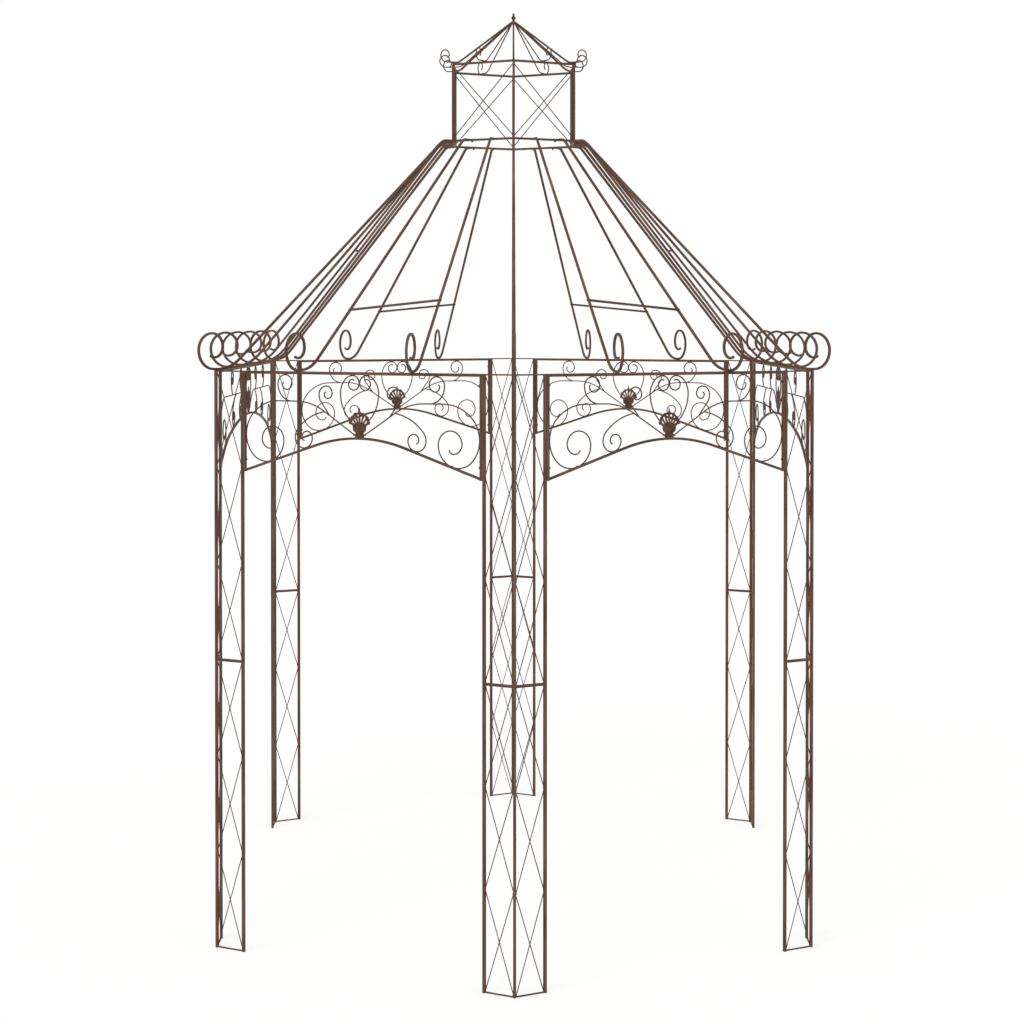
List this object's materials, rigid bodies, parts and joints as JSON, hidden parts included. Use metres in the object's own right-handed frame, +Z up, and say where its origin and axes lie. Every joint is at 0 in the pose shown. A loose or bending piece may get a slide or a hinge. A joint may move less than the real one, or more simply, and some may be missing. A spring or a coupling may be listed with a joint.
{
  "type": "garden pergola",
  "caption": "Free-standing iron garden pergola on an elongated hexagon plan, with lattice corner posts, scrolled arch panels with shells, bent rafters with curled ends and a lantern.",
  "frame": {"origin": "on the ground at the centre of the plan", "axes": "+Z is up, -Y points at the front corner post, the two long sides face +X and -X"},
  "size_m": [2.6584, 3.9764, 4.033],
  "materials": {
    "iron": "antique-brown coating with lighter rubbed streaks, satin",
    "castings": "antique-brown coating over cast iron, satin"
  },
  "bodies": {
    "root": {"post_front_lower": "iron", "post_front_upper": "iron", "post_front_right_lower": "iron", "post_front_right_upper": "iron", "post_back_right_lower": "iron", "post_back_right_upper": "iron", "post_back_lower": "iron", "post_back_upper": "iron", "post_back_left_lower": "iron", "post_back_left_upper": "iron", "post_front_left_lower": "iron", "post_front_left_upper": "iron", "panel_front_right": "iron", "panel_right": "iron", "panel_back_right": "iron", "panel_back_left": "iron", "panel_left": "iron", "panel_front_left": "iron", "shell_front_right": "castings", "shell_right": "castings", "shell_back_right": "castings", "shell_back_left": "castings", "shell_left": "castings", "shell_front_left": "castings", "hip_front": "iron", "hip_front_right": "iron", "hip_back_right": "iron", "hip_back": "iron", "hip_back_left": "iron", "hip_front_left": "iron", "rafters_front_right": "iron", "rafters_right": "iron", "rafters_back_right": "iron", "rafters_back_left": "iron", "rafters_left": "iron", "rafters_front_left": "iron", "short_side_ties": "iron", "long_side_ties": "iron", "lantern_lower_ring": "iron", "lantern_cage": "iron", "lantern_upper_ring": "iron", "lantern_roof": "iron", "finial": "castings"}
  },
  "joints": []
}
